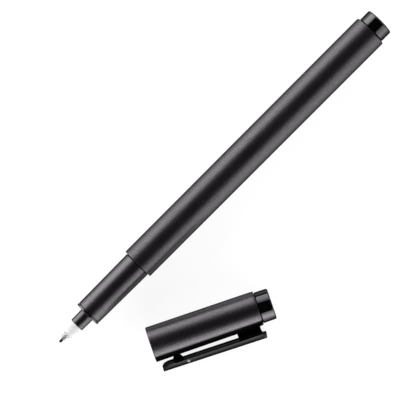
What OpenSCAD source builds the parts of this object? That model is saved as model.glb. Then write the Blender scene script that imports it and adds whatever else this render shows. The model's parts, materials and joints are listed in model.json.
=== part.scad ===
// Cleanroom marker, with its cap off and lying beside it. All sizes in millimetres.
// The marker lies along X, nib towards -X. The cap lies next to it, turned by cap_turn.
// Stations on the marker are counted from the nib's tip, stations on the cap from its mouth.

/* [Nib and holder] */
// Diameter of the nib where it shows
nib_d = 0.75; // [0.6:0.05:0.9]
// Length of nib that stands out of the holder
nib_show = 0.95; // [0.7:0.05:1.2]
// Diameter of the nib's rod inside the holder and the reservoir
nib_rod_d = 1.4; // [1.1:0.05:1.5]
// How far the nib's rod reaches into the reservoir
nib_depth = 13; // [8:1:20]
// Length of the holder in front of the nose
holder_len = 6.25; // [5.8:0.05:7]
// Diameter of the holder's mouth
holder_mouth_d = 1.2; // [1.1:0.05:1.4]
// Diameter of the holder's neck
neck_d = 2.1; // [1.8:0.05:2.3]
// Length of the neck, from the mouth to the shoulder
neck_len = 2.15; // [1.8:0.05:2.4]
// Diameter behind the shoulder
shoulder_d = 3.45; // [3:0.05:3.7]
// Diameter of the holder where it meets the nose
holder_back_d = 4.15; // [3.8:0.05:4.3]
// Diameter of the holder's stem inside the nose
stem_d = 3.2; // [2.6:0.05:3.3]

/* [Grip section] */
// Diameter at the front of the nose
nose_front_d = 4.45; // [4.4:0.01:4.55]
// Diameter at the back of the nose
nose_back_d = 4.65; // [4.55:0.01:4.7]
// Length of the nose
nose_len = 4.5; // [4:0.1:5]
// Diameter at the front of the grip, behind its lip
grip_front_d = 8.2; // [7.8:0.05:8.4]
// Diameter at the back of the grip
grip_back_d = 8.7; // [8.6:0.05:8.75]
// Length of the grip, from its lip to the barrel
grip_len = 21.4; // [18:0.1:23]
// How far the grip section's spigot reaches into the barrel
grip_spigot_len = 12; // [8:0.5:16]

/* [Barrel] */
// Outer diameter of the barrel
barrel_d = 10.45; // [10.3:0.05:10.8]
// Length of the barrel
barrel_len = 98.7; // [80:0.1:120]
// Wall thickness of the barrel
barrel_wall = 1; // [0.9:0.05:1.1]
// Height of the inner ribs that centre the reservoir
rib_h = 0.6; // [0.5:0.05:0.8]
// Number of inner ribs
rib_count = 4; // [3:1:6]

/* [End plug] */
// Diameter of the plug's head
end_plug_d = 9.15; // [8.9:0.05:9.3]
// Length of the head, up to its edge
end_plug_len = 3.85; // [3:0.05:5]
// Rise of the head's domed end
end_plug_dome = 0.4; // [0.2:0.05:0.6]
// Length of the plug's spigot in the barrel
end_spigot_len = 10.5; // [6:0.5:14]

/* [Ink reservoir] */
// Thickness of the film round the reservoir
wrap_wall = 0.15; // [0.1:0.01:0.25]

/* [Cap] */
// Outer diameter at the mouth
cap_mouth_d = 10.85; // [10.8:0.05:11]
// Outer diameter at the back of the tube
cap_back_d = 10.6; // [10.5:0.05:10.8]
// Length of the tube
cap_len = 34; // [33:0.1:36]
// Diameter of the bore that takes the grip
cap_bore_d = 8.8; // [8.8:0.01:8.85]
// Diameter of the bore behind it, for the liner and the plug
cap_back_bore_d = 9.2; // [9.1:0.05:9.3]
// Depth of the front bore
cap_bore_len = 21.7; // [21.6:0.1:22.4]
// Diameter of the plug's head
cap_plug_d = 9.6; // [9.4:0.05:9.7]
// Length of the plug's head
cap_plug_len = 4.3; // [3.5:0.1:5]

/* [Clip] */
// Width of the clip
clip_w = 3.1; // [2.6:0.1:4]
// Station of the clip's front end
clip_front = 1.2; // [0.8:0.1:2]
// Station of the clip's back end, at its outer face
clip_back = 33.7; // [33.5:0.1:34]
// Outer face's distance from the cap's axis, front end
clip_out_front = 9; // [8.9:0.05:9.2]
// Outer face's distance from the cap's axis, back end
clip_out_back = 9.42; // [9.3:0.05:9.6]
// Inner face's distance from the cap's axis, behind the bump
clip_in_front = 7.7; // [7.6:0.05:7.8]
// Inner face's distance from the cap's axis, at the post
clip_in_back = 7.87; // [7.8:0.05:7.95]
// Station of the post's front face
post_front = 25.5; // [25:0.1:26.5]
// Length of the post
post_len = 7.25; // [6.5:0.05:7.5]
// Width of the post
post_w = 1.7; // [1.4:0.1:2.4]
// Gap between the bump and the tube
bump_gap = 0.1; // [0.08:0.01:0.3]

/* [Layout] */
// Angle between the cap's axis and the marker's axis
cap_turn = 26.1; // [20:0.1:35]
// Station on the marker beside which the cap's mouth lies
cap_mouth_x = 18.7; // [15:0.1:30]
// Distance of the mouth's centre from the marker's axis
cap_mouth_y = 19.9; // [19:0.1:30]

/* [Hidden] */

$fn = 96;
arc_steps = 6;
// Clearance between pieces that are pressed together
fit_gap = 0.02;
// Overlap that joins the shapes of one piece
weld = 0.2;

matte_black = "#26252a";
gloss_black = "#0c0c0e";
natural_white = "#f1f0ea";
ink_black = "#141418";
film = "#d9dde0";

// Stations along the marker
x_holder = nib_show;
x_neck_back = x_holder + neck_len;
x_nose = x_holder + holder_len;
x_grip = x_nose + nose_len;
x_barrel = x_grip + grip_len;
x_back = x_barrel + barrel_len;
x_end = x_back + end_plug_len + end_plug_dome;

// Nib and holder
step_setback = 0.3;
nib_step = x_neck_back + step_setback;
neck_front_len = 0.86;
neck_taper = 0.05;
shoulder_round = 0.45;
shoulder_end = 100;
web_len = 1.5;
x_web = x_grip + web_len;
barb_len = 0.9;
barb_h = 0.22;
stem_r = stem_d / 2;

// Grip section
nose_chamfer = 0.15;
lip_len = 0.75;
lip_h = 0.1;
lip_chamfer = 0.2;
groove_len = 0.12;
chamber_r = 2.8;

// Barrel
barrel_r = barrel_d / 2;
bore_r = barrel_r - barrel_wall;
spigot_r = bore_r - fit_gap;
barrel_chamfer = 0.25;
barrel_round = 0.6;
rib_w = 0.8;
rib_inset = 4;

// Reservoir
wrap_r = bore_r - rib_h - fit_gap;
reservoir_r = wrap_r - wrap_wall - fit_gap;
seat_setback = 2.8;
x_reservoir = x_barrel + seat_setback;
x_reservoir_back = x_back - end_spigot_len;
x_nib_back = x_reservoir + nib_depth;

// End plug
end_plug_r = end_plug_d / 2;
end_edge = 0.3;
end_plug_bore_r = 3;
end_plug_recess = 1.5;

// Cap
cap_r = cap_mouth_d / 2;
cap_mouth_edge = 0.2;
cap_mouth_chamfer = 0.35;
cap_back_round = 0.45;
cap_bore_r = cap_bore_d / 2;
cap_back_bore_r = cap_back_bore_d / 2;
cap_spigot_r = cap_back_bore_r - fit_gap;
cap_plug_edge = 0.3;
cap_plug_bore_r = 3.45;
liner_flange = 1;
liner_clear = 0.15;
liner_r = cap_plug_bore_r - liner_clear;
seal_clear = 0.03;
liner_seal_r = nose_back_d / 2 + seal_clear;
liner_seal_len = 4.6;
chamber_clear = 0.12;
liner_chamber_r = holder_back_d / 2 + chamber_clear;
liner_lead = 0.35;
liner_len = 13;
liner_end = cap_bore_len + liner_len;
liner_wall = 0.9;

// Clip, with its own stations and its distances from the cap's axis
tilt_gap = 0.03;
clip_corner = norm([clip_out_back, clip_w / 2]);
clip_drop = asin((cap_r - tilt_gap) / clip_corner) - atan2(clip_w / 2, clip_out_back);
clip_end_slant = 0.3;
clip_nose_round = 0.6;
lead_drop = 0.25;
bump_base = [4.6, 7.9];
bump_top = [5.4, 7.1];
post_back = post_front + post_len;
tail_rise = 0.5;
hinge_setback = 0.6;
hinge_c = post_front - hinge_setback;
knuckle_r = 0.5;
knuckle_gap = 0.03;
arm_gap = 0.02;
root_gap = 0.12;
foot_inset = 1.5;
foot_step = 0.2;
foot_w = post_w - 2 * foot_step;
gate_mark_d = 0.95;
gate_mark_h = 0.07;
gate_mark_c = 9.15;

// Place of the marker and the cap, with the middle of the whole outline over the origin
far_corner = clip_out_back * cos(clip_drop) + clip_w / 2 * sin(clip_drop);
reach = cap_mouth_y + clip_back * sin(cap_turn) + far_corner * cos(cap_turn);
marker_x = -x_end / 2;
marker_y = (reach - barrel_r) / 2;

// Points on a quarter arc or any other stretch of a circle, from angle a to angle b
function arc(centre, r, a, b) = [
    for (i = [0 : arc_steps])
        let (t = a + (b - a) * i / arc_steps)
            centre + r * [cos(t), sin(t)]
];

// Value at station c on a straight line through two [station, distance] points
function along(c, p, q) = p[1] + (q[1] - p[1]) * (c - p[0]) / (q[0] - p[0]);

// Radius of the tube's outside at a station of the cap
function tube_r(c) = along(c, [0, cap_r], [cap_len, cap_back_d / 2]);

// Distance of the clip's outer and inner faces from the cap's axis
function clip_out(c) = along(c, [clip_front, clip_out_front], [clip_back, clip_out_back]);
function clip_in(c) = along(c, [bump_base[1], clip_in_front], [post_front, clip_in_back]);

hinge_r = (clip_in(hinge_c) + clip_out(hinge_c)) / 2;

// Turns a half outline of [station, radius] points about the X axis
module turned(points) {
    rotate([0, 90, 0])
        rotate_extrude()
            polygon([for (p = points) [p[1], p[0]]]);
}

module place_marker() {
    translate([marker_x, marker_y, barrel_r])
        children();
}

module place_cap() {
    translate([marker_x + cap_mouth_x, marker_y - cap_mouth_y, cap_r])
        rotate([0, 0, -cap_turn])
            children();
}

// In the clip's own frame X is the cap's axis and -Y points out of the cap towards the clip
module place_clip() {
    place_cap()
        rotate([clip_drop, 0, 0])
            children();
}

// A bar of the clip's width or another, from an outline of [station, distance from the axis] points
module bar(points, w) {
    linear_extrude(height = w, center = true)
        polygon([for (p = points) [p[0], -p[1]]]);
}

module block(c, r, w) {
    bar([[c[0], r[0]], [c[1], r[0]], [c[1], r[1]], [c[0], r[1]]], w);
}

module barrel() {
    tube = concat(
        [[x_barrel, bore_r], [x_barrel, barrel_r - barrel_chamfer], [x_barrel + barrel_chamfer, barrel_r]],
        arc([x_back - barrel_round, barrel_r - barrel_round], barrel_round, 90, 0),
        [[x_back, bore_r]]
    );
    rib_x = x_barrel + grip_spigot_len + rib_inset;
    rib_len = x_reservoir_back - rib_inset - rib_x;
    color(matte_black)
        place_marker() {
            turned(tube);
            for (i = [0 : rib_count - 1])
                rotate([360 / rib_count * i, 0, 0])
                    translate([rib_x, -rib_w / 2, bore_r - rib_h])
                        cube([rib_len, rib_w, rib_h + weld]);
        }
}

module end_plug() {
    dome_r = (end_plug_r * end_plug_r + end_plug_dome * end_plug_dome) / (2 * end_plug_dome);
    edge_a = asin((end_plug_r - end_edge) / dome_r);
    profile = concat(
        [[x_back - end_spigot_len, end_plug_bore_r], [x_back - end_spigot_len, spigot_r], [x_back, spigot_r]],
        [[x_back, end_plug_r], [x_back + end_plug_len - end_edge, end_plug_r]],
        arc([x_end - dome_r, 0], dome_r, edge_a, 0),
        [[x_back + end_plug_recess, 0], [x_back + end_plug_recess, end_plug_bore_r]]
    );
    color(gloss_black)
        place_marker()
            turned(profile);
}

module grip_section() {
    lip_r = grip_front_d / 2 + lip_h;
    profile = [
        [x_nose, stem_r + fit_gap],
        [x_nose, nose_front_d / 2 - nose_chamfer],
        [x_nose + nose_chamfer, nose_front_d / 2],
        [x_grip, nose_back_d / 2],
        [x_grip, lip_r - lip_chamfer],
        [x_grip + lip_chamfer, lip_r],
        [x_grip + lip_len - groove_len, lip_r],
        [x_grip + lip_len, grip_front_d / 2],
        [x_barrel, grip_back_d / 2],
        [x_barrel, spigot_r],
        [x_barrel + grip_spigot_len, spigot_r],
        [x_barrel + grip_spigot_len, wrap_r + fit_gap],
        [x_reservoir, wrap_r + fit_gap],
        [x_reservoir, chamber_r],
        [x_web, chamber_r],
        [x_web, stem_r + fit_gap]
    ];
    color(matte_black)
        place_marker()
            turned(profile);
}

module nib_holder() {
    neck_r = neck_d / 2;
    shoulder_r = shoulder_d / 2;
    round_mid = [x_neck_back + shoulder_round, shoulder_r - shoulder_round];
    profile = concat(
        [[x_holder, nib_d / 2 + fit_gap], [x_holder, holder_mouth_d / 2]],
        [[x_holder + neck_front_len, neck_r - neck_taper], [x_neck_back, neck_r]],
        arc(round_mid, shoulder_round, 180, shoulder_end),
        [[x_nose, holder_back_d / 2], [x_nose, stem_r], [x_web, stem_r], [x_web, stem_r + barb_h]],
        [[x_web + barb_len, stem_r - barb_h], [x_web + barb_len, nib_rod_d / 2 + fit_gap]],
        [[nib_step, nib_rod_d / 2 + fit_gap], [nib_step, nib_d / 2 + fit_gap]]
    );
    color(natural_white)
        place_marker()
            turned(profile);
}

module nib() {
    profile = concat(
        arc([nib_d / 2, 0], nib_d / 2, 180, 90),
        [[nib_step, nib_d / 2], [nib_step, nib_rod_d / 2], [x_nib_back, nib_rod_d / 2], [x_nib_back, 0]]
    );
    color(ink_black)
        place_marker()
            turned(profile);
}

module ink_reservoir() {
    hole_r = nib_rod_d / 2 + fit_gap;
    profile = [
        [x_reservoir, hole_r],
        [x_reservoir, reservoir_r],
        [x_reservoir_back, reservoir_r],
        [x_reservoir_back, 0],
        [x_nib_back, 0],
        [x_nib_back, hole_r]
    ];
    color(ink_black)
        place_marker()
            turned(profile);
}

module reservoir_wrap() {
    inner_r = wrap_r - wrap_wall;
    profile = [
        [x_reservoir, inner_r],
        [x_reservoir, wrap_r],
        [x_reservoir_back, wrap_r],
        [x_reservoir_back, inner_r]
    ];
    color(film)
        place_marker()
            turned(profile);
}

module cap_tube() {
    back_r = tube_r(cap_len - cap_back_round);
    profile = concat(
        [[0, cap_bore_r + cap_mouth_chamfer]],
        arc([cap_mouth_edge, cap_r - cap_mouth_edge], cap_mouth_edge, 180, 90),
        arc([cap_len - cap_back_round, back_r - cap_back_round], cap_back_round, 90, 0),
        [[cap_len, cap_back_bore_r], [cap_bore_len, cap_back_bore_r]],
        [[cap_bore_len, cap_bore_r], [cap_mouth_chamfer, cap_bore_r]]
    );
    window = [post_front + foot_inset - fit_gap, post_back - foot_inset + fit_gap];
    color(matte_black)
        difference() {
            place_cap()
                turned(profile);
            place_clip()
                block(window, [cap_back_bore_r - weld, cap_r + weld], foot_w + 2 * fit_gap);
        }
}

module cap_plug() {
    plug_r = cap_plug_d / 2;
    c_end = cap_len + cap_plug_len;
    spigot_front = cap_bore_len + liner_flange;
    profile = [
        [spigot_front, cap_plug_bore_r],
        [spigot_front, cap_spigot_r],
        [cap_len, cap_spigot_r],
        [cap_len, plug_r],
        [c_end - cap_plug_edge, plug_r],
        [c_end, plug_r - cap_plug_edge],
        [c_end, 0],
        [liner_end + liner_wall, 0],
        [liner_end + liner_wall, cap_plug_bore_r]
    ];
    color(gloss_black)
        place_cap()
            turned(profile);
}

module inner_cap() {
    seal_back = cap_bore_len + liner_seal_len;
    profile = [
        [cap_bore_len, liner_seal_r + liner_lead],
        [cap_bore_len, cap_spigot_r],
        [cap_bore_len + liner_flange, cap_spigot_r],
        [cap_bore_len + liner_flange, liner_r],
        [liner_end + liner_wall, liner_r],
        [liner_end + liner_wall, 0],
        [liner_end, 0],
        [liner_end, liner_chamber_r],
        [seal_back, liner_chamber_r],
        [seal_back, liner_seal_r],
        [cap_bore_len + liner_lead, liner_seal_r]
    ];
    color(natural_white)
        place_cap()
            turned(profile);
}

// The fixed root of the clip: foot through the tube's wall, standoff, and the bar behind the hinge line
module clip_post() {
    root_c = hinge_c + root_gap;
    root = [
        [root_c, clip_in(root_c)],
        [root_c, clip_out(root_c)],
        [clip_back, clip_out_back],
        [clip_back + clip_end_slant, clip_in_back + tail_rise],
        [post_back, clip_in_back],
        [post_front, clip_in_back]
    ];
    color(matte_black)
        place_clip() {
            bar(root, clip_w);
            translate([hinge_c, -hinge_r, -clip_w / 2])
                cylinder(r = knuckle_r, h = clip_w);
            block([hinge_c, root_c + weld], [hinge_r - knuckle_r, hinge_r + knuckle_r], clip_w);
            difference() {
                block([post_front, post_back], [cap_back_bore_r, clip_in_back + weld], post_w);
                rotate([0, 90, 0])
                    cylinder(r1 = cap_r + fit_gap, r2 = cap_back_d / 2 + fit_gap, h = cap_len);
            }
            block([post_front + foot_inset, post_back - foot_inset], [cap_back_bore_r, cap_r + weld], foot_w);
        }
}

// The free arm, with its bump, its rounded front end and the seat that turns on the root's knuckle
module clip_arm() {
    arm_back = hinge_c - arm_gap;
    lead_in = clip_in_front - lead_drop;
    bump_r = tube_r(bump_top[0]) + bump_gap;
    front_out = clip_out(clip_front + clip_nose_round) - clip_nose_round;
    outline = concat(
        arc([clip_front + clip_nose_round, lead_in + clip_nose_round], clip_nose_round, 270, 180),
        arc([clip_front + clip_nose_round, front_out], clip_nose_round, 180, 90),
        [[arm_back, clip_out(arm_back)], [arm_back, clip_in(arm_back)], [bump_base[1], clip_in_front]],
        [[bump_top[1], bump_r], [bump_top[0], bump_r], [bump_base[0], lead_in]]
    );
    color(matte_black)
        place_clip() {
            difference() {
                bar(outline, clip_w);
                translate([hinge_c, -hinge_r, -clip_w])
                    cylinder(r = knuckle_r + knuckle_gap, h = 2 * clip_w);
            }
            translate([gate_mark_c, -(clip_in(gate_mark_c) + clip_out(gate_mark_c)) / 2, clip_w / 2 - weld])
                cylinder(d = gate_mark_d, h = gate_mark_h + weld);
        }
}

barrel();
end_plug();
grip_section();
nib_holder();
nib();
ink_reservoir();
reservoir_wrap();
cap_tube();
cap_plug();
inner_cap();
clip_post();
clip_arm();
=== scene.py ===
import json
import math

import bmesh
import bpy
from mathutils import Matrix, Vector


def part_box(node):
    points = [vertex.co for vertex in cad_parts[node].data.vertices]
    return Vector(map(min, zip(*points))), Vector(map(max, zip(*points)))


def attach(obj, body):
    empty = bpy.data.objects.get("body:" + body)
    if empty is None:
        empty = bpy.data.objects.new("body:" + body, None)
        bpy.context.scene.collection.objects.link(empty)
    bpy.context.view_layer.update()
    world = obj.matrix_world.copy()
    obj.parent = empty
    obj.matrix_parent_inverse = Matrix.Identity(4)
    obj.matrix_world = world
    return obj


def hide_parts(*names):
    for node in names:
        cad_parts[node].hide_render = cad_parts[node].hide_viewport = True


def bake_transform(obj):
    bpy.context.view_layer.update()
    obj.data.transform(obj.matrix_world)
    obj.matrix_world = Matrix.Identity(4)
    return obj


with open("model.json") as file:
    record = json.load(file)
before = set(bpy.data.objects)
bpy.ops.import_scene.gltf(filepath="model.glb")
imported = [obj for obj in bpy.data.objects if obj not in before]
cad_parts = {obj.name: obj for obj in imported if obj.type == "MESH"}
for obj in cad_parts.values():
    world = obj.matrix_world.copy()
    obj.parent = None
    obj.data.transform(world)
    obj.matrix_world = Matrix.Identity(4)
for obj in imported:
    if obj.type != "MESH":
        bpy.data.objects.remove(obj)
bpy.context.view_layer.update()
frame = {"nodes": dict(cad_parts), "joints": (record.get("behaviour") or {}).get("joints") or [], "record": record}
scene = bpy.context.scene
mm = 0.001
white = (1, 1, 1, 1)
print("frame loaded:", len(frame["nodes"]), "CAD nodes")

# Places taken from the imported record: the marker's axis, the cap's axis and the clip's own directions
mounts = {m["name"]: m for m in frame["record"]["mounts"]}
joints = {j["name"]: j for j in frame["joints"]}
barrelMount = Vector(mounts["barrel_body"]["pos_m"])
capEnd = Vector(mounts["cap_end"]["pos_m"])
capAxis = Vector(mounts["cap_end"]["axis"])
clipAcross = Vector(joints["clip_flex"]["axis"])
clipOut = capAxis.cross(clipAcross)
clipSide = Vector((clipOut.x, clipOut.y, 0)).normalized()  # from the cap to its clip, level with the table
tip = Vector((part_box("nib")[0].x, barrelMount.y, barrelMount.z))


def hexColour(code):  # sRGB hex to linear RGBA
    parts = [int(code[i:i + 2], 16) / 255 for i in (1, 3, 5)]
    return [c / 12.92 if c <= 0.04045 else ((c + 0.055) / 1.055) ** 2.4 for c in parts] + [1.0]


def addNode(tree, kind, settings=None, links=None):
    node = tree.nodes.new(kind)
    for key, value in (settings or {}).items():
        if isinstance(key, str) and hasattr(node, key):
            setattr(node, key, value)
        else:
            node.inputs[key].default_value = value
    for key, source in (links or {}).items():
        tree.links.new(source, node.inputs[key])
    return node


def newMaterial(name):
    material = bpy.data.materials.new(name)
    material.use_nodes = True
    material.node_tree.nodes.clear()
    return material, material.node_tree


def finishMaterial(tree, shader):
    addNode(tree, "ShaderNodeOutputMaterial", links={"Surface": shader.outputs[0]})


# Materials: sizes in mm
noiseLow, noiseHigh = 0.3, 0.7  # nearly all values of a noise texture lie between these
sheenEnd, sheenLeft = 0.9, 0.1  # how far a surface is turned away, and the share of the sheen left there


def mouldedBlack(name, look):  # polypropylene from a spark-eroded mould: soft sheen, fine even grain
    material, tree = newMaterial(name)
    place = addNode(tree, "ShaderNodeTexCoord").outputs["Object"]
    grain = addNode(tree, "ShaderNodeTexNoise",
                    {"Scale": 1 / (look["grain"] * mm), "Detail": 2.0, "Roughness": 0.6},
                    {"Vector": place}).outputs["Fac"]
    flow = addNode(tree, "ShaderNodeTexNoise",
                   {"Scale": 1 / (look["flow"] * mm), "Detail": 3.0, "Roughness": 0.5},
                   {"Vector": place}).outputs["Fac"]
    shade = addNode(tree, "ShaderNodeMix",
                    {"data_type": "RGBA", 6: hexColour(look["dark"]), 7: hexColour(look["light"])},
                    {"Factor": flow}).outputs[2]
    rough = addNode(tree, "ShaderNodeMapRange",
                    {"From Min": noiseLow, "From Max": noiseHigh,
                     "To Min": look["rough"][0], "To Max": look["rough"][1]},
                    {"Value": flow}).outputs[0]
    if "polishAt" in look:  # a short stretch of the mould is polished
        along = addNode(tree, "ShaderNodeSeparateXYZ", links={0: place}).outputs["X"]
        polished = addNode(tree, "ShaderNodeMath",
                           {"operation": "COMPARE", 1: tip.x + look["polishAt"] * mm,
                            2: look["polishHalf"] * mm}, {0: along}).outputs[0]
        rough = addNode(tree, "ShaderNodeMix", {"data_type": "FLOAT", 3: look["polishRough"]},
                        {0: polished, 2: rough}).outputs[0]
    bump = addNode(tree, "ShaderNodeBump",
                   {"Strength": look["bump"], "Distance": look["grain"] * mm / 4},
                   {"Height": grain}).outputs["Normal"]

    facing = addNode(tree, "ShaderNodeLayerWeight", {"Blend": 0.5}).outputs["Facing"]
    if "sides" in look:  # a point's distance from the cap's axis on the clip's side, as a share of a range
        outward = clipSide - capAxis * look["taper"]
        near, far = (capEnd.dot(outward) + side * mm for side in look["sides"])
        reach = addNode(tree, "ShaderNodeVectorMath", {"operation": "DOT_PRODUCT", 1: outward},
                        {0: place}).outputs["Value"]
        sideways = addNode(tree, "ShaderNodeMapRange", {"From Min": near, "From Max": far},
                           {"Value": reach}).outputs[0]
    shadows = []
    if "sooner" in look:  # painted shade towards the clip, where the clip shades the tube: the sheen fades sooner and the colour is darker there
        facing = addNode(tree, "ShaderNodeMath", {"operation": "MULTIPLY_ADD", 1: look["sooner"]},
                         {0: sideways, 2: facing}).outputs[0]
        shadows.append(addNode(tree, "ShaderNodeMapRange", {"To Min": 1.0, "To Max": look["paintedShadeShare"]},
                               {"Value": sideways}).outputs[0])
    # The pits of the eroded surface shade each other at a flat angle, so the sheen fades there
    gloss = addNode(tree, "ShaderNodeMapRange",
                    {"From Min": look["fade"][0], "From Max": look["fade"][1],
                     "To Min": look["specular"], "To Max": look["grazing"]}, {"Value": facing}).outputs[0]
    shares = [addNode(tree, "ShaderNodeMapRange",
                      {"From Min": look["fade"][1], "From Max": sheenEnd, "To Min": 1.0, "To Max": sheenLeft},
                      {"Value": facing}).outputs[0]]
    shares.append(addNode(tree, "ShaderNodeMapRange",
                          {"From Min": noiseLow, "From Max": noiseHigh,
                           "To Min": 1 - look["glint"], "To Max": 1 + look["glint"]},
                          {"Value": grain}).outputs[0])
    if "paintedBands" in look:  # painted shade and painted highlight in lengthwise bands across the clip's side that faces the tube, on its colour and its sheen
        paintedBandRamp = addNode(tree, "ShaderNodeValToRGB", links={"Fac": sideways})
        stops = paintedBandRamp.color_ramp.elements
        first, last = look["paintedBands"][0][0], look["paintedBands"][-1][0]
        for distance, share in look["paintedBands"][1:-1]:
            stops.new((distance - first) / (last - first))
        for stop, (distance, share) in zip(stops, look["paintedBands"]):
            stop.color = (share, share, share, 1)
        shares.append(paintedBandRamp.outputs[0])
        shadows.append(paintedBandRamp.outputs[0])
    for share in shares:
        gloss = addNode(tree, "ShaderNodeMath", {"operation": "MULTIPLY"}, {0: gloss, 1: share}).outputs[0]
    for shadow in shadows:
        shade = addNode(tree, "ShaderNodeMix", {"data_type": "RGBA", "blend_type": "MULTIPLY", 0: 1.0},
                        {6: shade, 7: shadow}).outputs[2]
    skin = addNode(tree, "ShaderNodeBsdfPrincipled",
                   {"IOR": look["ior"], "Specular IOR Level": look["specular"],
                    "Specular Tint": hexColour(look["tint"])},
                   {"Base Color": shade, "Roughness": rough, "Specular IOR Level": gloss, "Normal": bump})
    finishMaterial(tree, skin)
    return material


# The grain of a real mould is about 0.05 mm. It is drawn at 0.45 mm, a pixel and a half, so that it shows
barrelLook = {"dark": "#0b070c", "light": "#0f0b10", "grain": 0.45, "flow": 9.0, "rough": (0.33, 0.37),
              "bump": 0.16, "glint": 0.3, "ior": 1.49, "specular": 0.47, "grazing": 0.008,
              "fade": (0.44, 0.66), "tint": "#fdf8ff"}
# The cap's sides, taper, sooner and strip keys paint shade on the tube's clip side: darker colour and less sheen
# there
capLook = dict(barrelLook, dark="#070408", light="#0b070c", specular=0.6, fade=(0.4, 0.68),
               sides=(2.97, 4.0), taper=0.0, sooner=0.38, paintedShadeShare=0.2)
gripLook = {"dark": "#060407", "light": "#090609", "grain": 0.45, "flow": 7.0, "rough": (0.31, 0.34),
            "bump": 0.12, "glint": 0.25, "ior": 1.49, "specular": 0.6, "grazing": 0.008,
            "fade": (0.4, 0.64), "tint": "#fdf8ff", "polishAt": 12.0, "polishHalf": 0.34, "polishRough": 0.12}
# The clip's bands are painted shade and painted highlight: near black at the inner edge and over the stand-offs,
# then a bright line, then a dark line, then less sheen towards the outer edge
clipLook = {"dark": "#050405", "light": "#080708", "grain": 0.45, "flow": 5.0, "rough": (0.34, 0.38),
            "bump": 0.04, "glint": 0.2, "ior": 1.49, "specular": 0.2, "grazing": 0.008,
            "fade": (0.25, 0.56), "tint": "#fdf8ff", "sides": (6.9, 9.2), "taper": 0.0145,
            "paintedBands": ((6.9, 0.02), (7.33, 0.02), (7.41, 1.7), (7.62, 1.7), (7.74, 0.25), (7.85, 0.25),
                      (8.05, 0.95), (8.25, 0.85), (8.5, 0.7), (9.2, 0.7))}  # distance, share of the sheen
plugLook = {"dark": "#030303", "light": "#050505", "grain": 0.5, "flow": 6.0, "rough": (0.08, 0.11),
            "bump": 0.01, "glint": 0.02, "ior": 1.53, "specular": 0.42, "grazing": 0.004,
            "fade": (0.28, 0.58), "tint": "#fdf8ff"}
barrelPlastic = mouldedBlack("sparkErodedPolypropylene", barrelLook)
capPlastic = mouldedBlack("sparkErodedCapPolypropylene", capLook)  # the same, with painted shade on the side towards the clip
gripPlastic = mouldedBlack("satinMouldedPolypropylene", gripLook)  # finer pits: a closer sheen
clipPlastic = mouldedBlack("clipMouldedPolypropylene", clipLook)  # painted shade and painted highlight in lengthwise bands on colour and sheen
plugPlastic = mouldedBlack("polishedMouldedPolystyrene", plugLook)  # polished mould: sharp reflections


def naturalPlastic(name, look):  # unpigmented plastic: white, waxy, lets dark things behind it show
    material, tree = newMaterial(name)
    place = addNode(tree, "ShaderNodeTexCoord").outputs["Object"]
    cloud = addNode(tree, "ShaderNodeTexNoise",
                    {"Scale": 1 / (look["cloud"] * mm), "Detail": 2.0}, {"Vector": place}).outputs["Fac"]
    shade = addNode(tree, "ShaderNodeMix",
                    {"data_type": "RGBA", 6: hexColour(look["dark"]), 7: hexColour(look["light"])},
                    {"Factor": cloud})
    rough = addNode(tree, "ShaderNodeMapRange",
                    {"To Min": look["rough"][0], "To Max": look["rough"][1]}, {"Value": cloud})
    settings = {"IOR": look["ior"], "Specular IOR Level": look["specular"]}
    links = {"Base Color": shade.outputs[2], "Roughness": rough.outputs[0]}
    if "thin" in look:  # the wall gets thicker from one station to the next and lets less light through
        start, end = (tip.x + station * mm for station in look["thin"])
        along = addNode(tree, "ShaderNodeSeparateXYZ", links={0: place}).outputs["X"]
        through = addNode(tree, "ShaderNodeMapRange",
                          {"From Min": start, "From Max": end, "To Min": look["throughThin"],
                           "To Max": look["through"]}, {"Value": along})
        links["Transmission Weight"] = through.outputs[0]
    else:
        settings["Transmission Weight"] = look["through"]
    finishMaterial(tree, addNode(tree, "ShaderNodeBsdfPrincipled", settings, links))
    return material


holderLook = {"dark": "#dfdfdf", "light": "#e5e5e5", "cloud": 1.2, "rough": (0.5, 0.56), "ior": 1.48,
              "specular": 0.08, "thin": (2.6, 3.6), "throughThin": 0.92, "through": 0.22}
linerLook = {"dark": "#dcdad2", "light": "#e9e7e0", "cloud": 2.0, "rough": (0.4, 0.5), "ior": 1.51,
             "specular": 0.4, "through": 0.2}
holderPlastic = naturalPlastic("naturalMouldedAcetal", holderLook)
linerPlastic = naturalPlastic("naturalMouldedPolyethylene", linerLook)


def inkedFibre(name, look):  # polyester fibre bound and soaked with ink: dull black, drawn lengthwise
    material, tree = newMaterial(name)
    place = addNode(tree, "ShaderNodeTexCoord").outputs["Object"]
    lengthwise, sideways = 1 / (look["length"] * mm), 1 / (look["fibre"] * mm)
    along = addNode(tree, "ShaderNodeMapping", {"Scale": (lengthwise, sideways, sideways)}, {"Vector": place})
    strands = addNode(tree, "ShaderNodeTexNoise", {"Scale": 1.0, "Detail": 2.0},
                      {"Vector": along.outputs["Vector"]}).outputs["Fac"]
    shade = addNode(tree, "ShaderNodeMix",
                    {"data_type": "RGBA", 6: hexColour(look["dark"]), 7: hexColour(look["light"])},
                    {"Factor": strands})
    bump = addNode(tree, "ShaderNodeBump", {"Strength": look["bump"], "Distance": look["fibre"] * mm / 2},
                   {"Height": strands})
    skin = addNode(tree, "ShaderNodeBsdfPrincipled",
                   {"Roughness": look["rough"], "Specular IOR Level": look["specular"]},
                   {"Base Color": shade.outputs[2], "Normal": bump.outputs["Normal"]})
    finishMaterial(tree, skin)
    return material


# The fibres are about 0.02 mm thick, drawn three times as thick and more so that they show close up
nibLook = {"dark": "#070709", "light": "#101013", "fibre": 0.06, "length": 0.8, "bump": 0.3, "rough": 0.6,
           "specular": 0.12}
waddingLook = {"dark": "#101014", "light": "#2a2a30", "fibre": 0.15, "length": 4.0, "bump": 0.3, "rough": 0.8,
               "specular": 0.2}
nibFibre = inkedFibre("inkedPolyesterFibre", nibLook)
waddingFibre = inkedFibre("inkedFibreWadding", waddingLook)


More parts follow.
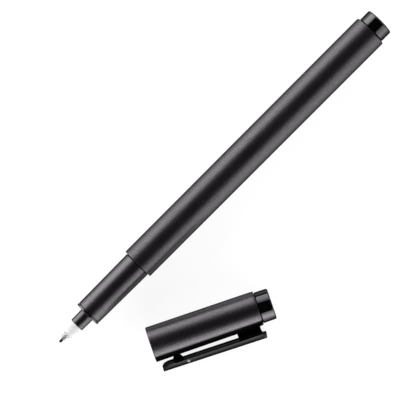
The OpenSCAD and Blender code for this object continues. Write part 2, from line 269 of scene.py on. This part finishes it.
def clearFilm(name, look):  # thin blown film: clear, faintly hazy in lengthwise streaks
    material, tree = newMaterial(name)
    place = addNode(tree, "ShaderNodeTexCoord").outputs["Object"]
    lengthwise, sideways = 1 / (look["length"] * mm), 1 / (look["streak"] * mm)
    along = addNode(tree, "ShaderNodeMapping", {"Scale": (lengthwise, sideways, sideways)}, {"Vector": place})
    haze = addNode(tree, "ShaderNodeTexNoise", {"Scale": 1.0, "Detail": 2.0},
                   {"Vector": along.outputs["Vector"]})
    rough = addNode(tree, "ShaderNodeMapRange",
                    {"To Min": look["rough"][0], "To Max": look["rough"][1]}, {"Value": haze.outputs["Fac"]})
    skin = addNode(tree, "ShaderNodeBsdfPrincipled",
                   {"Base Color": hexColour(look["colour"]), "IOR": look["ior"],
                    "Transmission Weight": look["through"]}, {"Roughness": rough.outputs[0]})
    finishMaterial(tree, skin)
    return material


filmLook = {"colour": "#e6e9ea", "streak": 0.8, "length": 12.0, "rough": (0.12, 0.3), "ior": 1.5,
            "through": 0.85}
filmSkin = clearFilm("clearBlownFilm", filmLook)


def cutGate(name, look):  # where the sprue was cut off: torn polypropylene scatters light and looks pale
    material, tree = newMaterial(name)
    place = addNode(tree, "ShaderNodeTexCoord").outputs["Object"]
    torn = addNode(tree, "ShaderNodeTexNoise", {"Scale": 1 / (look["tear"] * mm), "Detail": 3.0},
                   {"Vector": place}).outputs["Fac"]
    shade = addNode(tree, "ShaderNodeMix",
                    {"data_type": "RGBA", 6: hexColour(look["dark"]), 7: hexColour(look["light"])},
                    {"Factor": torn})
    bump = addNode(tree, "ShaderNodeBump", {"Strength": look["bump"], "Distance": look["tear"] * mm / 3},
                   {"Height": torn})
    skin = addNode(tree, "ShaderNodeBsdfPrincipled", {"Roughness": look["rough"], "IOR": look["ior"]},
                   {"Base Color": shade.outputs[2], "Normal": bump.outputs["Normal"]})
    finishMaterial(tree, skin)
    return material


gateLook = {"dark": "#77777a", "light": "#a5a5a8", "tear": 0.25, "bump": 0.5, "rough": 0.6, "ior": 1.49}
gatePlastic = cutGate("cutPolypropyleneGate", gateLook)
print("materials made:", len(bpy.data.materials))

# Turned shells: one node tree turns a closed half outline of (station, radius) points about the X axis
weld, sliver = 1e-4, 1e-5  # mm, points this close are one, edges this short are dropped
sharpAngle = 32  # degrees, edges above it stay sharp in the light


def turnedTree():
    tree = bpy.data.node_groups.new("turnedShell", "GeometryNodeTree")
    sockets = {}
    for label, way, kind in (("Outline", "INPUT", "NodeSocketGeometry"),
                             ("Steps Round", "INPUT", "NodeSocketInt"),
                             ("Finish", "INPUT", "NodeSocketMaterial"),
                             ("Shell", "OUTPUT", "NodeSocketGeometry")):
        sockets[label] = tree.interface.new_socket(label, in_out=way, socket_type=kind).identifier
    given = addNode(tree, "NodeGroupInput").outputs
    count = addNode(tree, "GeometryNodeAttributeDomainSize", {"component": "MESH"},
                    {"Geometry": given["Outline"]}).outputs["Point Count"]
    rows = addNode(tree, "ShaderNodeMath", {"operation": "ADD", 1: 1.0}, {0: count}).outputs[0]
    steps = given["Steps Round"]
    columns = addNode(tree, "ShaderNodeMath", {"operation": "ADD", 1: 1.0}, {0: steps}).outputs[0]
    sheet = addNode(tree, "GeometryNodeMeshGrid", {"Size X": 1.0, "Size Y": 1.0},
                    {"Vertices X": rows, "Vertices Y": columns})
    index = addNode(tree, "GeometryNodeInputIndex").outputs[0]
    share = addNode(tree, "ShaderNodeMath", {"operation": "DIVIDE"}, {0: index, 1: columns}).outputs[0]
    row = addNode(tree, "ShaderNodeMath", {"operation": "FLOOR"}, {0: share}).outputs[0]
    wrapped = addNode(tree, "ShaderNodeMath", {"operation": "MODULO"}, {0: row, 1: count}).outputs[0]
    column = addNode(tree, "ShaderNodeMath", {"operation": "MODULO"}, {0: index, 1: columns}).outputs[0]
    turn = addNode(tree, "ShaderNodeMath", {"operation": "DIVIDE"}, {0: column, 1: steps}).outputs[0]
    angle = addNode(tree, "ShaderNodeMath", {"operation": "MULTIPLY", 1: math.tau}, {0: turn}).outputs[0]
    spot = addNode(tree, "GeometryNodeInputPosition").outputs[0]
    outline = addNode(tree, "GeometryNodeSampleIndex", {"data_type": "FLOAT_VECTOR", "domain": "POINT"},
                      {"Geometry": given["Outline"], "Value": spot, "Index": wrapped})
    parts = addNode(tree, "ShaderNodeSeparateXYZ", links={0: outline.outputs[0]}).outputs
    cosine = addNode(tree, "ShaderNodeMath", {"operation": "COSINE"}, {0: angle}).outputs[0]
    sine = addNode(tree, "ShaderNodeMath", {"operation": "SINE"}, {0: angle}).outputs[0]
    side = addNode(tree, "ShaderNodeMath", {"operation": "MULTIPLY"}, {0: parts["Y"], 1: cosine}).outputs[0]
    rise = addNode(tree, "ShaderNodeMath", {"operation": "MULTIPLY"}, {0: parts["Y"], 1: sine}).outputs[0]
    turned = addNode(tree, "ShaderNodeCombineXYZ", links={0: parts["X"], 1: side, 2: rise})
    moved = addNode(tree, "GeometryNodeSetPosition",
                    links={"Geometry": sheet.outputs["Mesh"], "Position": turned.outputs[0]})
    closed = addNode(tree, "GeometryNodeMergeByDistance", {"Distance": weld}, {"Geometry": moved.outputs[0]})
    whole = addNode(tree, "GeometryNodeRealizeInstances", links={"Geometry": closed.outputs[0]})
    dressed = addNode(tree, "GeometryNodeSetMaterial",
                      links={"Geometry": whole.outputs[0], "Material": given["Finish"]})
    addNode(tree, "NodeGroupOutput", links={"Shell": dressed.outputs[0]})
    return tree, sockets


turnedShell, turnedSockets = turnedTree()


def keepResult(piece):  # the result of the piece's modifiers becomes its plain mesh
    ready = piece.evaluated_get(bpy.context.evaluated_depsgraph_get())
    mesh = bpy.data.meshes.new_from_object(ready)
    piece.modifiers.clear()
    piece.data = mesh
    mesh.name = piece.name


def runNodes(piece, tree, values):  # values by socket identifier
    modifier = piece.modifiers.new(tree.name, "NODES")
    modifier.node_group = tree
    for identifier, value in values.items():
        modifier[identifier] = value
    keepResult(piece)


def tidyMesh(piece, place):  # faces outwards, in the row frame, smooth but for real edges
    work = bmesh.new()
    work.from_mesh(piece.data)
    bmesh.ops.remove_doubles(work, verts=work.verts, dist=weld)
    bmesh.ops.dissolve_degenerate(work, edges=work.edges, dist=sliver)
    bmesh.ops.recalc_face_normals(work, faces=work.faces)
    work.to_mesh(piece.data)
    work.free()
    piece.data.transform(place)
    piece.data.shade_smooth()
    piece.data.set_sharp_from_angle(angle=math.radians(sharpAngle))


def newPiece(name, vertices, edges, faces):
    mesh = bpy.data.meshes.new(name)
    mesh.from_pydata(vertices, edges, faces)
    piece = bpy.data.objects.new(name, mesh)
    scene.collection.objects.link(piece)
    return piece


def heldOutline(points, reach=0.07):  # rows beside each corner keep the long faces straight in the light
    held = []
    for start, end in zip(points, points[1:] + points[:1]):
        held.append(start)
        length = math.dist(start, end)
        if length > 6 * reach:
            for share in (reach / length, 1 - reach / length):
                held.append(tuple(a + (b - a) * share for a, b in zip(start, end)))
    return held


def turnedPiece(name, points, place, steps, finish):
    outline = heldOutline(points)
    edges = [(i, (i + 1) % len(outline)) for i in range(len(outline))]
    piece = newPiece(name, [(x, r, 0) for x, r in outline], edges, [])
    runNodes(piece, turnedShell, {turnedSockets["Steps Round"]: steps, turnedSockets["Finish"]: finish})
    tidyMesh(piece, place)
    return piece


def arc(middle, radius, start, end, steps=6):  # points on a stretch of a circle, angles in degrees
    turns = [math.radians(start + (end - start) * i / steps) for i in range(steps + 1)]
    return [(middle[0] + radius * math.cos(t), middle[1] + radius * math.sin(t)) for t in turns]


def rolledRim(end, radius, bend):  # a tube's back rim, rounded in two flats
    return [(end - bend, radius), (end - bend / 4, radius - bend * 0.3), (end, radius - bend)]


def stand(piece, body, slot, *nodes):  # the piece stands for its CAD nodes and rides on their body
    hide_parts(*nodes)
    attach(piece, body)


# Marker: stations in mm from the nib's tip
markerPlace = Matrix.Translation(tip) @ Matrix.Scale(mm, 4)
grip = {"noseFront": 7.2, "lip": 11.7, "back": 33.1, "noseFrontD": 4.56, "noseBackD": 4.7, "noseEdge": 0.12,
        "frontD": 8.34, "backD": 8.76, "lipD": 8.44, "lipLength": 0.62, "lipRound": 0.13, "lipBack": 0.05,
        "grooveD": 7.98, "grooveLength": 0.24, "spigotD": 8.41, "spigotLength": 12.0, "seat": 2.8,
        "seatD": 7.25, "seatGroove": 0.3, "seatDepth": 0.22, "chamberD": 5.6, "web": 1.5, "stemD": 3.24,
        "chamfer": 0.1, "steps": 128}


def gripOutline(g):
    lipR, frontR, backR, grooveR = g["lipD"] / 2, g["frontD"] / 2, g["backD"] / 2, g["grooveD"] / 2
    noseR, noseBackR, stemR = g["noseFrontD"] / 2, g["noseBackD"] / 2, g["stemD"] / 2
    spigotR, seatR, chamberR = g["spigotD"] / 2, g["seatD"] / 2, g["chamberD"] / 2
    edge, bend, lipBack, chamfer = g["noseEdge"], g["lipRound"], g["lipBack"], g["chamfer"]
    lipEnd = g["lip"] + g["lipLength"]
    grooveEnd = lipEnd + g["grooveLength"]
    backEnd = g["back"] + g["spigotLength"]
    seat = g["back"] + g["seat"]
    return (
        [(g["noseFront"], stemR)]
        + arc((g["noseFront"] + edge, noseR - edge), edge, 180, 90, 4)
        + [(g["lip"] - chamfer, noseBackR), (g["lip"], noseBackR + chamfer)]
        + arc((g["lip"] + bend, lipR - bend), bend, 180, 90)
        + arc((lipEnd - lipBack, lipR - lipBack), lipBack, 90, 40, 2)
        + [(lipEnd + g["grooveLength"] / 2, grooveR), (grooveEnd, frontR)]
        + [(g["back"] - g["seatGroove"], backR), (g["back"] - chamfer, backR - g["seatDepth"])]
        + [(g["back"], spigotR - chamfer), (backEnd, spigotR)]
        + [(backEnd, seatR), (seat, seatR), (seat, chamberR)]
        + [(g["lip"] + g["web"], chamberR), (g["lip"] + g["web"], stemR)]
    )


gripPiece = turnedPiece("gripAndNose", gripOutline(grip), markerPlace, grip["steps"], gripPlastic)
stand(gripPiece, "marker", "satin_black_moulding", "grip_section")

barrel = {"front": 33.1, "back": 131.7, "frontD": 10.43, "backD": 10.6, "boreD": 8.45, "frontEdge": 0.16,
          "backRound": 0.4, "steps": 160}


def barrelOutline(b):
    boreR, frontR, backR, edge = b["boreD"] / 2, b["frontD"] / 2, b["backD"] / 2, b["frontEdge"]
    return (
        [(b["front"], boreR), (b["front"], frontR - edge)]
        + arc((b["front"] + edge, frontR - edge), edge, 180, 90, 5)
        + rolledRim(b["back"], backR, b["backRound"])
        + [(b["back"], boreR)]
    )


barrelPiece = turnedPiece("barrelShell", barrelOutline(barrel), markerPlace, barrel["steps"], barrelPlastic)
stand(barrelPiece, "marker", "matte_black_moulding", "barrel")

plug = {"back": 131.8, "gap": 0.2, "headD": 9.15, "headLength": 3.85, "dome": 0.4, "edge": 0.36,
        "spigotD": 8.41, "spigotLength": 10.5, "neckFrom": 0.3, "neck": 0.1, "boreD": 6.0, "recess": 1.5,
        "steps": 128}


def plugOutline(p):
    headR, spigotR, boreR = p["headD"] / 2, p["spigotD"] / 2, p["boreD"] / 2
    edge, end = p["edge"], p["back"] + p["headLength"]
    domeR = (headR * headR + p["dome"] * p["dome"]) / (2 * p["dome"])
    rim = math.degrees(math.asin((headR - edge) / domeR))
    spigot, recess = p["back"] - p["spigotLength"], p["back"] + p["recess"]
    return (
        [(spigot, boreR), (spigot, spigotR), (p["back"] - p["neckFrom"], spigotR)]
        + [(p["back"] - p["neck"], spigotR - p["neck"]), (p["back"] + p["gap"], headR)]
        + arc((end - edge, headR - edge), edge, 90, 25, 5)
        + arc((end + p["dome"] - domeR, 0), domeR, rim, 0, 8)
        + [(recess, 0), (recess, boreR)]
    )


plugPiece = turnedPiece("endPlug", plugOutline(plug), markerPlace, plug["steps"], plugPlastic)
stand(plugPiece, "marker", "gloss_black_moulding", "end_plug")

holder = {"mouth": 1.08, "neckBack": 3.1, "noseFront": 7.2, "boreD": 0.89, "mouthD": 1.32, "mouthEdge": 0.08,
          "swellAt": 1.1, "swellOut": 0.55, "swellRound": 0.46, "neckD": 2.1, "chamfer": 0.1,
          "shoulderD": 3.45, "shoulderRound": 0.45, "backD": 4.15, "stemD": 3.2, "stemEnd": 13.2,
          "barbLength": 0.9, "barb": 0.22, "rodD": 1.44, "rodStep": 3.0, "steps": 96}


def holderOutline(h):
    mouthR, neckR, shoulderR, stemR = h["mouthD"] / 2, h["neckD"] / 2, h["shoulderD"] / 2, h["stemD"] / 2
    boreR, rodR = h["boreD"] / 2, h["rodD"] / 2
    edge, bend, chamfer = h["mouthEdge"], h["shoulderRound"], h["chamfer"]
    barbEnd = h["stemEnd"] + h["barbLength"]
    return (
        [(h["mouth"], boreR)]
        + arc((h["mouth"] + edge, mouthR - edge), edge, 180, 110, 3)
        + arc((h["mouth"] + h["swellAt"], h["swellOut"]), h["swellRound"], 150, 95, 5)
        + [(h["neckBack"] - chamfer, neckR), (h["neckBack"], neckR + chamfer)]
        + arc((h["neckBack"] + bend, shoulderR - bend), bend, 180, 97, 6)
        + [(h["noseFront"], h["backD"] / 2), (h["noseFront"], stemR), (h["stemEnd"], stemR)]
        + [(h["stemEnd"], stemR + h["barb"]), (barbEnd, stemR - h["barb"])]
        + [(barbEnd, rodR), (h["rodStep"], rodR), (h["rodStep"], boreR)]
    )


holderPiece = turnedPiece("nibHolder", holderOutline(holder), markerPlace, holder["steps"], holderPlastic)
stand(holderPiece, "marker", "white_holder", "nib_holder")

nib = {"tipD": 0.85, "tipRound": 0.28, "rodD": 1.4, "rodStep": 3.0, "end": 48.9, "steps": 48}


def nibOutline(n):
    tipR, rodR, bend = n["tipD"] / 2, n["rodD"] / 2, n["tipRound"]
    return (
        [(0, 0)]
        + arc((bend, tipR - bend), bend, 180, 90, 6)
        + [(n["rodStep"], tipR), (n["rodStep"], rodR), (n["end"], rodR), (n["end"], 0)]
    )


nibPiece = turnedPiece("fibreNib", nibOutline(nib), markerPlace, nib["steps"], nibFibre)
stand(nibPiece, "marker", "inked_fibre", "nib")
print("marker pieces made")

# Cap: stations in mm from its mouth
capSizes = {"tubeLength": 34.0, "mouthD": 10.89, "backD": 10.67, "boreD": 8.8, "backBoreD": 9.2,
            "boreLength": 21.7, "mouthEdge": 0.16, "mouthChamfer": 0.35, "backRound": 0.4, "groove": 33.35,
            "grooveWidth": 0.16, "grooveDepth": 0.09, "headLength": 4.3, "steps": 160}
capTurn = capAxis.to_track_quat("X", "Z").to_matrix().to_4x4()
mouthCentre = capEnd - capAxis * (capSizes["tubeLength"] + capSizes["headLength"]) * mm
capPlace = Matrix.Translation(mouthCentre) @ capTurn @ Matrix.Scale(mm, 4)


def capRadius(c, station):
    return (c["mouthD"] + (c["backD"] - c["mouthD"]) * station / c["tubeLength"]) / 2


def tubeOutline(c):
    mouthR, backR, boreR, backBoreR = c["mouthD"] / 2, c["backD"] / 2, c["boreD"] / 2, c["backBoreD"] / 2
    edge, chamfer, groove, half = c["mouthEdge"], c["mouthChamfer"], c["groove"], c["grooveWidth"] / 2
    grooveR = capRadius(c, groove)
    return (
        [(0, boreR + chamfer)]
        + arc((edge, mouthR - edge), edge, 180, 90, 5)
        + [(groove - half, grooveR), (groove - half / 2, grooveR - c["grooveDepth"])]
        + [(groove + half / 2, grooveR - c["grooveDepth"]), (groove + half, grooveR)]
        + rolledRim(c["tubeLength"], backR, c["backRound"])
        + [(c["tubeLength"], backBoreR), (c["boreLength"], backBoreR)]
        + [(c["boreLength"], boreR), (chamfer, boreR)]
    )


tubePiece = turnedPiece("capTube", tubeOutline(capSizes), capPlace, capSizes["steps"], capPlastic)
stand(tubePiece, "cap", "matte_black_moulding", "cap_tube")

capPlug = {"gap": 0.26, "headD": 9.66, "endD": 9.56, "edge": 0.45, "spigotD": 9.16, "spigotFront": 22.7,
           "neckFrom": 0.3, "neck": 0.1, "boreD": 6.9, "boreEnd": 35.6, "steps": 128}


def capPlugOutline(p, start, end):
    headR, endR, spigotR, boreR = p["headD"] / 2, p["endD"] / 2, p["spigotD"] / 2, p["boreD"] / 2
    edge = p["edge"]
    return (
        [(p["spigotFront"], boreR), (p["spigotFront"], spigotR)]
        + [(start - p["neckFrom"], spigotR), (start, spigotR - p["neck"]), (start + p["gap"], headR)]
        + arc((end - edge, endR - edge), edge, 90, 0, 6)
        + [(end, 0), (p["boreEnd"], 0), (p["boreEnd"], boreR)]
    )


plugEnd = capSizes["tubeLength"] + capSizes["headLength"]
capPlugPiece = turnedPiece("capPlug", capPlugOutline(capPlug, capSizes["tubeLength"], plugEnd), capPlace,
                           capPlug["steps"], plugPlastic)
stand(capPlugPiece, "cap", "gloss_black_moulding", "cap_plug")

liner = {"flange": 1.0, "flangeD": 9.16, "outerD": 6.6, "sealD": 4.71, "sealLength": 4.6, "lead": 0.35,
         "chamberD": 4.39, "chamberEnd": 34.7, "end": 35.6, "steps": 96}


def linerOutline(s, front):
    sealR, flangeR, outerR, chamberR = s["sealD"] / 2, s["flangeD"] / 2, s["outerD"] / 2, s["chamberD"] / 2
    flangeEnd, sealEnd = front + s["flange"], front + s["sealLength"]
    return [
        (front, sealR + s["lead"]), (front, flangeR), (flangeEnd, flangeR), (flangeEnd, outerR),
        (s["end"], outerR), (s["end"], 0), (s["chamberEnd"], 0), (s["chamberEnd"], chamberR),
        (sealEnd, chamberR), (sealEnd, sealR), (front + s["lead"], sealR),
    ]


linerPiece = turnedPiece("sealingLiner", linerOutline(liner, capSizes["boreLength"]), capPlace,
                         liner["steps"], linerPlastic)
stand(linerPiece, "cap", "natural_liner", "inner_cap")

# Clip: one moulding, in stations from the cap's mouth and distances from its axis
clip = {"width": 3.1, "lowTrim": 0.12, "front": 1.06, "outFront": 9.21, "outBack": 9.73, "inFront": 7.8,
        "inBack": 8.0, "lead": 7.54, "noseLength": 2.1, "noseBlunt": 0.06, "noseRound": 0.14, "noseStep": 15,
        "rim": 0.16, "rimTo": 3.0, "bumpBase": (4.75, 8.1), "bumpTop": (5.65, 6.9), "bumpGap": 0.1,
        "bumpDraft": 0.25, "barFrom": 10.0, "barStep": 1.25, "barSteps": 12, "postFront": 25.5,
        "postRows": (27.9, 30.3), "postBack": 32.75, "postWidth": 1.9, "footWidth": 1.0, "postSink": 0.3,
        "back": 33.72, "tail": 34.0, "tailIn": 8.74, "tailSlant": 0.24, "tailRamp": 0.3,
        "hollow": 0.14, "hollowAt": (0.17, 0.5, 0.83), "hollowFrom": 1.6,
        "bevel": 0.14, "bevelSteps": 3, "bevelAngle": 35, "bendFrom": 25.4, "bendTo": 21.0}
gate = {"at": 9.15, "out": 8.4, "width": 0.95, "sink": 0.1, "rise": 0.07, "steps": 24,
        "worn": ((1.0, 0.5), (0.82, 1.0), (0.4, 1.0))}  # rings of the stub: shares of its radius and its rise
clipTurn = Matrix((capAxis, clipAcross.cross(capAxis), clipAcross)).transposed().to_4x4()
clipPlace = Matrix.Translation(mouthCentre) @ clipTurn @ Matrix.Scale(mm, 4)
slack = 1e-6  # mm, for comparing stations


def clipPairs(c):  # inner and outer outline points that face each other along the bar
    def outer(x):
        return c["outFront"] + (c["outBack"] - c["outFront"]) * (x - c["front"]) / (c["back"] - c["front"])

    def inner(x):
        start = c["bumpBase"][1]
        return c["inFront"] + (c["inBack"] - c["inFront"]) * (x - start) / (c["postFront"] - start)

    pairs = []
    blunt = outer(c["front"]) - c["noseBlunt"] - c["noseRound"]
    for turn in range(0, 91, c["noseStep"]):  # rounded lead-in that lets a pocket's edge slip under
        x = c["front"] + c["noseLength"] * (1 - math.cos(math.radians(turn)))
        low = blunt - (blunt - c["lead"]) * math.sin(math.radians(turn))
        high = outer(x) - (c["noseRound"] if turn == 0 else 0)
        pairs.append(((x, low), (x, high)))
    pairs += [((x, c["lead"] if x < c["bumpTop"][0] else c["inFront"]), (x, outer(x)))
              for x in c["bumpBase"][:1] + c["bumpTop"] + c["bumpBase"][1:]]
    stations = [c["barFrom"] + i * c["barStep"] for i in range(c["barSteps"])] + [c["postFront"]]
    pairs += [((x, inner(x)), (x, outer(x))) for x in stations]
    pairs += [((x, c["inBack"]), (x, outer(x))) for x in c["postRows"] + (c["postBack"],)]
    drop = c["postBack"] + c["tailRamp"]
    pairs.append(((drop, c["tailIn"]), (drop, outer(drop))))
    pairs.append(((c["tail"], c["tailIn"]), (c["back"], c["outBack"])))
    return pairs


def buildClip(c):
    half, post, foot = c["width"] / 2, c["postWidth"] / 2, c["footWidth"] / 2
    across = (c["lowTrim"] - half, -post, post, half)
    pairs = clipPairs(c)
    work = bmesh.new()
    rows = []
    for i, points in enumerate(pairs):
        slants = (c["tailSlant"] if i > len(pairs) - 3 else 0, 0)  # the tail is thicker on its upper side
        rows.append([[work.verts.new((p[0], -p[1] + slant * (z - across[0]), z)) for z in across]
                     for p, slant in zip(points, slants)])

    def rowsBetween(start, end):
        return [i for i, (p, q) in enumerate(pairs) if start - slack <= p[0] <= end + slack]

    def standOff(span, reach):  # block with draft that stands on the bar's inner face and narrows to the tube
        feet = [[work.verts.new((pairs[i][0][0], -out, z)) for z in (-foot, foot)]
                for i, out in zip(span, reach)]
        for k, i in enumerate(span[:-1]):
            for side, j in ((0, 1), (1, 2)):
                work.faces.new((rows[i][0][j], rows[i + 1][0][j], feet[k + 1][side], feet[k][side]))
            work.faces.new((feet[k][0], feet[k + 1][0], feet[k + 1][1], feet[k][1]))
        for k, i in ((0, span[0]), (-1, span[-1])):
            work.faces.new((rows[i][0][1], rows[i][0][2], feet[k][1], feet[k][0]))

    postRows = rowsBetween(c["postFront"], c["postBack"])
    bumpRows = rowsBetween(*c["bumpBase"])
    hollowRows = rowsBetween(c["hollowFrom"], c["postBack"])
    sides = {}
    for i, (inRow, outRow) in enumerate(rows):  # both side faces are slightly hollow, as thick mouldings sink
        for j, way in ((0, 1), (3, -1)):
            start, end = inRow[j], outRow[j]
            sunk = [start.co.lerp(end.co, t) + Vector((0, 0, way * c["hollow"] * 4 * t * (1 - t)))
                    for t in c["hollowAt"] if i in hollowRows]
            sides[i, j] = [start] + [work.verts.new(point) for point in sunk] + [end]
            if start.co.x < c["rimTo"]:  # the lead-in's rim falls off to both sides
                start.co.z += way * c["rim"]
    for i in range(len(rows) - 1):
        for j in range(3):
            covered = j == 1 and any(i in span and i + 1 in span for span in (postRows, bumpRows))
            for layer in (0, 1):
                if layer == 0 and covered:
                    continue
                a, b = rows[i][layer], rows[i + 1][layer]
                work.faces.new((a[j], b[j], b[j + 1], a[j + 1]))
        for j in (0, 3):
            here, there = sides[i, j], sides[i + 1, j]
            if len(here) == len(there):
                for k in range(len(here) - 1):
                    work.faces.new((here[k], there[k], there[k + 1], here[k + 1]))
            else:
                work.faces.new(here[::-1] + there)
    for end in (0, -1):
        for j in range(3):
            work.faces.new((rows[end][0][j], rows[end][0][j + 1], rows[end][1][j + 1], rows[end][1][j]))
    standOff(postRows, [capRadius(capSizes, pairs[i][0][0]) - c["postSink"] for i in postRows])
    bumpR = capRadius(capSizes, c["bumpTop"][0]) + c["bumpGap"]
    standOff(bumpRows, [c["lead"] - c["bumpDraft"], bumpR, bumpR, c["inFront"] - c["bumpDraft"]])
    bmesh.ops.recalc_face_normals(work, faces=work.faces)
    piece = newPiece("capClip", [], [], [])
    work.to_mesh(piece.data)
    work.free()
    edge = piece.modifiers.new("mouldedEdges", "BEVEL")
    edge.width = c["bevel"]
    edge.segments = c["bevelSteps"]
    edge.limit_method = "ANGLE"
    edge.angle_limit = math.radians(c["bevelAngle"])
    keepResult(piece)
    piece.data.materials.append(clipPlastic)
    return piece


def addGateMark(piece, g):  # low worn stub on the clip's upper side face
    piece.data.materials.append(gatePlastic)
    work = bmesh.new()
    work.from_mesh(piece.data)
    middle = Vector((g["at"], -g["out"], clip["width"] / 2))
    radius, steps = g["width"] / 2, g["steps"]
    rings = [(radius, -g["sink"])] + [(radius * size, g["rise"] * rise) for size, rise in g["worn"]]
    turns = [math.tau * k / steps for k in range(steps)]
    loops = []
    for size, rise in rings:
        loops.append([work.verts.new(middle + Vector((size * math.cos(t), size * math.sin(t), rise)))
                      for t in turns])
    faces = []
    for low, high in zip(loops, loops[1:]):
        for k in range(steps):
            after = (k + 1) % steps
            faces.append(work.faces.new((low[k], low[after], high[after], high[k])))
    faces.append(work.faces.new(loops[-1]))
    faces.append(work.faces.new(loops[0][::-1]))
    for face in faces:
        face.material_index = 1
    work.to_mesh(piece.data)
    work.free()


clipPiece = buildClip(clip)
addGateMark(clipPiece, gate)
tidyMesh(clipPiece, clipPlace)
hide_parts("clip_post", "clip_arm")
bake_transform(clipPiece)
print("cap pieces made")

# Hidden pieces keep their CAD shape
for name, material in (("ink_reservoir", waddingFibre), ("reservoir_wrap", filmSkin)):
    node = frame["nodes"][name]
    node.data.materials.clear()
    node.data.materials.append(material)

# Stage: sheet of satin white acrylic, white to the camera and in reflections, that still takes the shadow
floorLook = {"size": 6.0, "colour": "#7c7c7c", "glow": 0.88, "rough": 0.16, "ior": 1.49}
floorHalf = floorLook["size"] / 2
floorCorners = [(x * floorHalf, y * floorHalf, 0) for x, y in ((-1, -1), (1, -1), (1, 1), (-1, 1))]
floor = newPiece("floor", floorCorners, [], [(0, 1, 2, 3)])
floorPaint, floorTree = newMaterial("satinAcrylicFloor")
rays = addNode(floorTree, "ShaderNodeLightPath").outputs
seen = rays["Is Camera Ray"]
for kind in ("Is Glossy Ray", "Is Transmission Ray"):
    seen = addNode(floorTree, "ShaderNodeMath", {"operation": "MAXIMUM"}, {0: seen, 1: rays[kind]}).outputs[0]
glow = addNode(floorTree, "ShaderNodeMath", {"operation": "MULTIPLY", 1: floorLook["glow"]}, {0: seen})
sheet = addNode(floorTree, "ShaderNodeBsdfPrincipled",
                {"Base Color": hexColour(floorLook["colour"]), "Roughness": floorLook["rough"],
                 "IOR": floorLook["ior"], "Emission Color": white}, {"Emission Strength": glow.outputs[0]})
finishMaterial(floorTree, sheet)
floor.data.materials.append(floorPaint)

# World: pale walls, dark ceiling
worldLook = {"wall": 0.8, "ceiling": 0.006, "wallTop": 0.06, "ceilingFrom": 0.42}
world = bpy.data.worlds.new("studioRoom")
scene.world = world
world.use_nodes = True
room = world.node_tree
room.nodes.clear()
lookingTo = addNode(room, "ShaderNodeTexCoord").outputs["Generated"]
height = addNode(room, "ShaderNodeSeparateXYZ", links={0: lookingTo}).outputs["Z"]
tone = addNode(room, "ShaderNodeMapRange",
               {"interpolation_type": "SMOOTHSTEP", "From Min": worldLook["wallTop"],
                "From Max": worldLook["ceilingFrom"], "To Min": worldLook["wall"],
                "To Max": worldLook["ceiling"]}, {"Value": height})
air = addNode(room, "ShaderNodeBackground", {"Color": white}, {"Strength": tone.outputs[0]})
addNode(room, "ShaderNodeOutputWorld", links={"Surface": air.outputs[0]})

# Upright softboxes round the table, strong on the long sides and weak at the ends; the air above stays dark
softboxes = {
    "softboxNearNib": {"turn": (-138.0, -101.0), "lift": (0.3, 30.5), "glow": 6.9},
    "softboxNearNibTop": {"turn": (-138.0, -101.0), "lift": (30.5, 44.5), "glow": 4.0},
    "softboxNearTail": {"turn": (-101.0, -72.0), "lift": (0.3, 36.4), "glow": 3.8},
    "softboxNearTailTop": {"turn": (-101.0, -72.0), "lift": (36.4, 52.7), "glow": 2.5},
    "softboxFarNib": {"turn": (70.0, 114.0), "lift": (0.3, 35.6), "glow": 6.6},
    "softboxFarNibTop": {"turn": (70.0, 114.0), "lift": (35.6, 44.1), "glow": 2.8},
    "softboxFarTail": {"turn": (46.0, 70.0), "lift": (0.3, 38.8), "glow": 4.6},
    "softboxFarTailTop": {"turn": (46.0, 70.0), "lift": (38.8, 53.1), "glow": 2.2},
    "softboxNib": {"turn": (134.0, 186.0), "lift": (0.3, 38.0), "glow": 1.8},
    "softboxTail": {"turn": (-33.0, 23.0), "lift": (0.3, 38.0), "glow": 1.8},
}
softboxAway = 2.0  # metres from the middle of the table
for name, box in softboxes.items():
    turn = math.radians(sum(box["turn"]) / 2)
    spread = math.radians((box["turn"][1] - box["turn"][0]) / 2)
    low, high = (softboxAway * math.tan(math.radians(lift)) for lift in box["lift"])
    heading = Vector((math.cos(turn), math.sin(turn), 0))
    lamp = bpy.data.lights.new(name, "AREA")
    lamp.shape = "RECTANGLE"
    lamp.size = 2 * softboxAway * math.tan(spread)
    lamp.size_y = high - low
    lamp.energy = box["glow"] * math.pi * lamp.size * lamp.size_y
    lampObject = bpy.data.objects.new(name, lamp)
    lampObject.location = heading * softboxAway + Vector((0, 0, (low + high) / 2))
    lampObject.rotation_euler = heading.to_track_quat("Z", "Y").to_euler()
    lampObject.visible_camera = False
    scene.collection.objects.link(lampObject)
print("studio lit")

# Camera: straight down, turned so that the marker runs up to the right; its field is measured at a height
view = {"over": (-8.235, 19.206), "height": 5.0, "field": 119.76, "turn": -45.04, "lens": 300.0,
        "sensor": 36.0, "nearest": 0.01, "farthest": 10.0}
camera = bpy.data.objects.new("camera", bpy.data.cameras.new("camera"))
camera.data.lens = view["lens"]
camera.data.sensor_width = view["sensor"]
camera.data.clip_start = view["nearest"]
camera.data.clip_end = view["farthest"]
rise = view["field"] * view["lens"] / view["sensor"] + view["height"]
camera.location = Vector((view["over"][0], view["over"][1], rise)) * mm
camera.rotation_euler = (0, 0, math.radians(view["turn"]))
scene.collection.objects.link(camera)
scene.camera = camera
scene.view_settings.view_transform = "Standard"
print("camera set")
